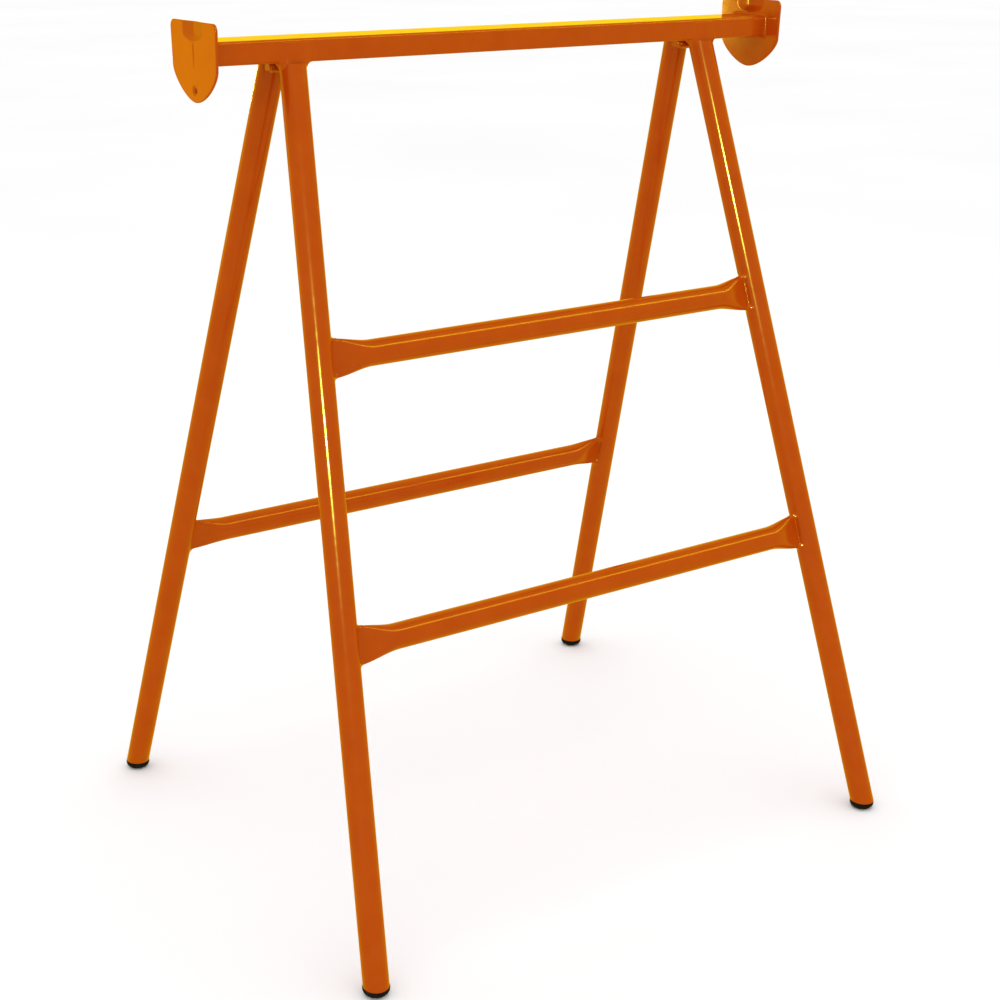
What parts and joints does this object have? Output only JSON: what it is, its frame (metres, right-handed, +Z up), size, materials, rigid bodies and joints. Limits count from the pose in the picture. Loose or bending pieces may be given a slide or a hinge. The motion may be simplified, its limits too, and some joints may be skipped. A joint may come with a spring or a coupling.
{
  "type": "folding sawhorse",
  "caption": "Folding tubular steel sawhorse with a flat top beam, shield-shaped stop plates at its ends, splayed legs tied by flattened-end rungs, and rubber feet.",
  "frame": {"origin": "on the floor, midway between the feet, under the middle of the top beam", "axes": "+X along the top beam to the right end, +Y to the rear frame (the one that folds), -Y to the front frame with its pair of rungs, +Z up"},
  "size_m": [0.792, 0.669, 1.02],
  "materials": {
    "orange_paint": "glossy orange powder coat with slight orange peel",
    "black_rubber": "matt moulded rubber"
  },
  "bodies": {
    "fixed_frame": {"top_beam": "orange_paint", "end_plate_left": "orange_paint", "end_plate_right": "orange_paint", "front_leg_left": "orange_paint", "front_leg_right": "orange_paint", "front_rung_upper": "orange_paint", "front_rung_lower": "orange_paint", "front_foot_left": "black_rubber", "front_foot_right": "black_rubber", "hinge_knuckle_fixed_left": "orange_paint", "hinge_knuckle_fixed_right": "orange_paint", "hinge_pin_left": "orange_paint", "hinge_pin_right": "orange_paint"},
    "rear_frame": {"rear_leg_left": "orange_paint", "rear_leg_right": "orange_paint", "rear_rung": "orange_paint", "rear_foot_left": "black_rubber", "rear_foot_right": "black_rubber", "hinge_knuckle_outer_left": "orange_paint", "hinge_knuckle_outer_right": "orange_paint", "hinge_knuckle_inner_left": "orange_paint", "hinge_knuckle_inner_right": "orange_paint"}
  },
  "joints": [
    {"name": "rear_frame_fold", "type": "hinge", "parent": "fixed_frame", "child": "rear_frame", "pos_m": [0, 0, 0.9687], "axis": [-1, 0, 0], "range_deg": [0, 34.5]}
  ]
}
